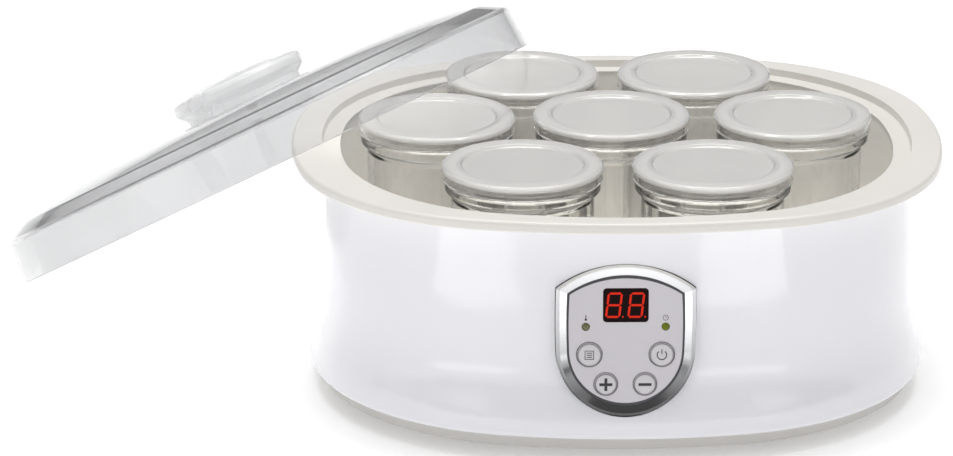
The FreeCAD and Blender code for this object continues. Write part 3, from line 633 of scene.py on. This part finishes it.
def ring_bars(x, z, radius, width, first, last, count):
    """Short flat pieces along an arc, for printed rings."""
    pieces = []
    for k in range(count):
        a0 = math.radians(first + (last - first) * k / count)
        a1 = math.radians(first + (last - first) * (k + 1) / count)
        pieces.append([(x + r * math.cos(a), z + r * math.sin(a))
                       for r, a in ((radius, a0), (radius, a1), (radius + width, a1), (radius + width, a0))])
    return pieces


def symbol(kind):
    """Flat outlines of one printed symbol, round its own centre."""
    if kind == "plus":
        upright = [rectangle(-0.6, 0.6, 0.6, 2.7), rectangle(-0.6, 0.6, -2.7, -0.6)]
        return upright + [rectangle(-2.7, 2.7, -0.6, 0.6)]
    if kind == "minus":
        return [rectangle(-2.7, 2.7, -0.6, 0.6)]
    if kind == "menu":
        frame_bars = [rectangle(-1.9, 1.9, 1.65, 1.9), rectangle(-1.9, 1.9, -1.9, -1.65),
                      rectangle(-1.9, -1.65, -1.65, 1.65), rectangle(1.65, 1.9, -1.65, 1.65)]
        return frame_bars + [rectangle(-1.1, 1.1, z - 0.16, z + 0.16) for z in (-0.9, 0.0, 0.9)]
    if kind == "power":
        return ring_bars(0, 0, 1.75, 0.42, -230, 50, 28) + [rectangle(-0.2, 0.2, 0.5, 2.4)]
    if kind == "clock":
        hands = [rectangle(-0.09, 0.09, 0, 0.75), rectangle(0.09, 0.6, -0.09, 0.09)]
        return ring_bars(0, 0, 1.0, 0.22, 0, 360, 24) + hands
    return [disc(0, -0.75, 0.5, 16), rectangle(-0.2, 0.2, -0.4, 1.2)]


def print_symbol(name, kind, x, z, face, place, body):
    """A printed symbol on a face, as one piece that rides on the body."""
    pieces = [prism("mark", shifted(s, x, z), face, face + PRINT_T, print_dark, place) for s in symbol(kind)]
    mark = join(name, pieces)
    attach(mark, body)


def three_point_arc(start, middle, end, steps):
    """Points from start towards end on the circle through all three, without the end itself."""
    (ax, ay), (bx, by), (cx, cy) = start, middle, end
    d = 2 * (ax * (by - cy) + bx * (cy - ay) + cx * (ay - by))
    a2, b2, c2 = ax * ax + ay * ay, bx * bx + by * by, cx * cx + cy * cy
    ux = (a2 * (by - cy) + b2 * (cy - ay) + c2 * (ay - by)) / d
    uy = (a2 * (cx - bx) + b2 * (ax - cx) + c2 * (bx - ax)) / d
    radius = math.hypot(ax - ux, ay - uy)
    first, last = math.atan2(ay - uy, ax - ux), math.atan2(cy - uy, cx - ux)
    turn = (first - last) % (2 * math.pi)
    angles = [first - turn * k / steps for k in range(steps)]
    return [(ux + radius * math.cos(a), uy + radius * math.sin(a)) for a in angles]


def shield(inset):
    """The panel's outline, clockwise from the left shoulder: arched top, bowed sides, half-round bottom."""
    half, top, bottom = BEZEL_HALF_W - inset, BEZEL_TOP - inset, BEZEL_BOTTOM + inset
    shoulder = BEZEL_SHOULDER - inset * 0.45
    low = bottom + half
    middle = (shoulder + low) / 2
    bow, diagonal = half + 0.25, half * math.sqrt(0.5)
    return (three_point_arc((-half, shoulder), (0, top), (half, shoulder), 32)
            + three_point_arc((half, shoulder), (bow, middle), (half, low), 10)
            + three_point_arc((half, low), (diagonal, low - diagonal), (0, bottom), 20)
            + three_point_arc((0, bottom), (-diagonal, low - diagonal), (-half, low), 20)
            + three_point_arc((-half, low), (-bow, middle), (-half, shoulder), 10))


def build_gap_painted_shade(place):
    """A dark strip along the joint between the metal rim and the fascia: painted shade of the rim, widest at
    top and bottom.
    """
    outer = shield(BEZEL_RIM + 0.1)
    inner = []
    for (x, z), (full_x, full_z) in zip(outer, shield(BEZEL_RIM + GAP_SHADE_REACH)):
        share = GAP_SHADE_AT_SIDES + (1 - GAP_SHADE_AT_SIDES) * min(1.0, abs(z) / BEZEL_TOP) ** 3
        inner.append((x + (full_x - x) * share, z + (full_z - z) * share))
    count = len(outer)
    # Painted shade: a dark strip laid on the fascia beside the joint.
    pieces = [prism("gap", [outer[k], outer[(k + 1) % count], inner[(k + 1) % count], inner[k]],
                    FASCIA_FACE, FASCIA_FACE + GAP_SHADE_T, inner_black, place) for k in range(count)]
    painted_shade_strip = join("fascia_gap_painted_shade", pieces)
    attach(painted_shade_strip, "housing")


def build_panel():
    """What is drawn on the panel: digits, painted shade along the joint, button marks with their rims, and
    lamp marks.
    """
    place = panel_place()
    build_digits(place)
    build_gap_painted_shade(place)
    for node, kind in BUTTON_MARKS.items():
        x, z = on_panel(place, node)
        low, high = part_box(node)
        reach = (high.x - low.x) / 2 / MM - FLANGE_REACH
        print_symbol(node + "_mark", kind, x, z, BUTTON_FACE, place, node)
        rim = [prism("mark", bar_shape, BUTTON_FACE, BUTTON_FACE + PRINT_T, rim_dark, place)
               for bar_shape in ring_bars(x, z, reach - RIM_INSET, RIM_WIDTH, 0, 360, 48)]
        outline = join(node + "_rim", rim)
        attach(outline, node)
    for node, kind in LAMP_MARKS.items():
        x, z = on_panel(place, node)
        print_symbol(node + "_mark", kind, x, z + LAMP_MARK_RISE, FASCIA_FACE, place, "housing")


# ---- camera, light and floor --------------------------------------------------------------------------
def add_camera():
    """The camera that matches the photo's view."""
    azimuth, elevation = math.radians(CAMERA_AZIMUTH), math.radians(CAMERA_ELEVATION)
    ahead = Vector((math.sin(azimuth) * math.cos(elevation), math.cos(azimuth) * math.cos(elevation),
                    -math.sin(elevation)))
    right = Vector((math.cos(azimuth), -math.sin(azimuth), 0))
    above = right.cross(ahead)
    aim = Vector((0, 0, FLANGE_TOP)) - right * CAMERA_SIDE - above * CAMERA_DROP
    data = bpy.data.cameras.new("camera")
    data.lens = CAMERA_LENS
    data.sensor_width = 36.0
    data.clip_end = 50.0
    camera = bpy.data.objects.new("camera", data)
    camera.matrix_world = Matrix.Translation(aim - ahead * CAMERA_DISTANCE) @ Matrix(
        (right, above, -ahead)).transposed().to_4x4()
    bpy.context.scene.collection.objects.link(camera)
    bpy.context.scene.camera = camera


def add_softbox(name, place, size, power, aim=(0, 0, 0.08)):
    """A rectangular area light, turned towards a point."""
    data = bpy.data.lights.new(name, "AREA")
    data.shape = "RECTANGLE"
    data.size, data.size_y = size
    data.energy = power
    lamp = bpy.data.objects.new(name, data)
    lamp.location = place
    lamp.rotation_euler = (Vector(aim) - Vector(place)).to_track_quat("-Z", "Y").to_euler()
    bpy.context.scene.collection.objects.link(lamp)


def add_card(name, place, size, turn, power):
    """A lit card lying on the floor in front, which the casing's gloss picks up as an upright soft band."""
    data = bpy.data.lights.new(name, "AREA")
    data.shape = "RECTANGLE"
    data.size, data.size_y = size
    data.energy = power
    lamp = bpy.data.objects.new(name, data)
    lamp.location = place
    lamp.rotation_euler = (math.pi, 0, math.radians(turn))
    bpy.context.scene.collection.objects.link(lamp)


def add_world():
    """A pale studio: lightest overhead, with a grey panel standing at each side."""
    world = bpy.data.worlds.new("studio")
    world.use_nodes = True
    bpy.context.scene.world = world
    tree = world.node_tree
    sky = tree.nodes["Background"]
    where = tree.nodes.new("ShaderNodeTexCoord")
    split = tree.nodes.new("ShaderNodeSeparateXYZ")
    tree.links.new(where.outputs["Generated"], split.inputs["Vector"])
    rise = colour_ramp(tree, split.outputs["Z"], [(0.0, (0.60, 0.60, 0.61)), (0.75, (1, 1, 1))])
    sideways = tree.nodes.new("ShaderNodeMath")
    sideways.operation = "ABSOLUTE"
    tree.links.new(split.outputs["X"], sideways.inputs[0])
    panels = colour_ramp(tree, sideways.outputs[0], [
        (0.72, (1, 1, 1)), (0.80, (0.35, 0.35, 0.37)), (0.92, (0.35, 0.35, 0.35)), (0.97, (0.9, 0.9, 0.9)),
    ])
    both = tree.nodes.new("ShaderNodeMix")
    both.data_type = "RGBA"
    both.blend_type = "MULTIPLY"
    both.inputs["Factor"].default_value = 1.0
    tree.links.new(rise, both.inputs["A"])
    tree.links.new(panels, both.inputs["B"])
    tree.links.new(both.outputs["Result"], sky.inputs["Color"])
    sky.inputs["Strength"].default_value = 0.50


def add_floor():
    """White floor that glows a little, so that it renders as white as the photo's background."""
    mesh = bpy.data.meshes.new("floor")
    corners = [(x * FLOOR_HALF, y * FLOOR_HALF, 0) for x, y in ((-1, -1), (1, -1), (1, 1), (-1, 1))]
    mesh.from_pydata(corners, [], [(0, 1, 2, 3)])
    floor = bpy.data.objects.new("floor", mesh)
    bpy.context.scene.collection.objects.link(floor)
    paper = moulded("floor_white", (0.95, 0.95, 0.95), 0.6, 400.0, 0.000004, shift=0.002)
    shader = paper.node_tree.nodes["Principled BSDF"]
    shader.inputs["Emission Color"].default_value = (1, 1, 1, 1)
    shader.inputs["Emission Strength"].default_value = FLOOR_GLOW
    mesh.materials.append(paper)


def add_studio():
    """World, floor and lamps."""
    add_world()
    add_floor()
    add_softbox("softbox_left", (-1.5, -1.7, 0.8), (1.1, 1.3), 3.6)
    add_softbox("softbox_right", (1.5, -1.6, 0.8), (1.0, 1.3), 3.2)
    add_softbox("softbox_top", (0.0, 0.2, 2.2), (1.7, 1.3), 35.0)
    add_softbox("panel_side", (-0.62, -0.28, 0.10), (0.34, 0.20), 0.10, (-0.20, 0.0, 0.09))
    add_card("card_left", (-0.217, -0.295, 0.004), (0.20, 0.09), -34.0, 0.10)
    add_card("card_right", (0.185, -0.321, 0.004), (0.165, 0.085), 26.5, 0.085)
    bpy.context.scene.view_settings.view_transform = "Standard"


build_jars()
build_cover()
build_panel()
add_camera()
add_studio()
